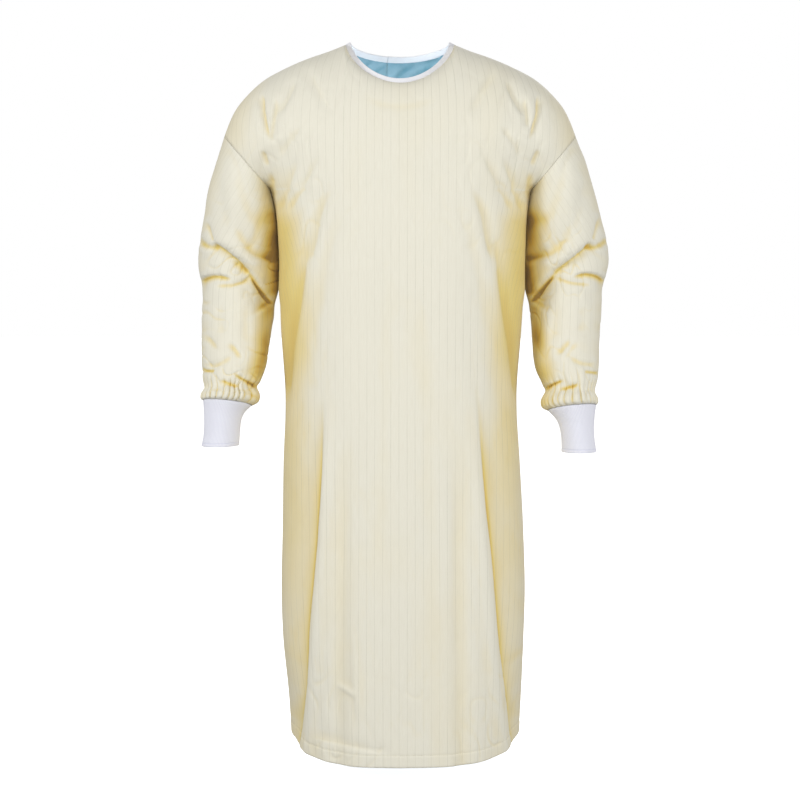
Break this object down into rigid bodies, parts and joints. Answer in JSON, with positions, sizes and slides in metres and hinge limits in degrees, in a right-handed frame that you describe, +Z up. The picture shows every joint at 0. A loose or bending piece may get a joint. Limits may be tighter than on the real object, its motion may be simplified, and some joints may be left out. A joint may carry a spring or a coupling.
{
  "type": "isolation gown",
  "caption": "Long-sleeved back-opening isolation gown in the hollow form it has when worn, with gathered wrists, rib-knit cuffs and a bound round neck.",
  "frame": {"origin": "middle of the neck opening, level with the points where the neck meets the shoulders, where the wearer holds the gown up", "axes": "+X viewer's right, +Y to the gown's back, +Z up; the front faces -Y"},
  "size_m": [0.681, 0.2947, 1.1727],
  "materials": {
    "striped_cloth": "matt cream polyester-cotton with fine grey-olive stripes, teal-blue inside",
    "rib_knit": "white rib knit",
    "binding_tape": "white woven binding",
    "stud_plastic": "plain white press-stud caps"
  },
  "bodies": {
    "root": {"front_panel": "striped_cloth", "back_panel_left": "striped_cloth", "back_panel_right": "striped_cloth", "sleeve_left": "striped_cloth", "sleeve_right": "striped_cloth", "cuff_left": "rib_knit", "cuff_right": "rib_knit", "neck_binding": "binding_tape", "neck_press_stud": "stud_plastic", "waist_press_stud": "stud_plastic"}
  },
  "joints": []
}
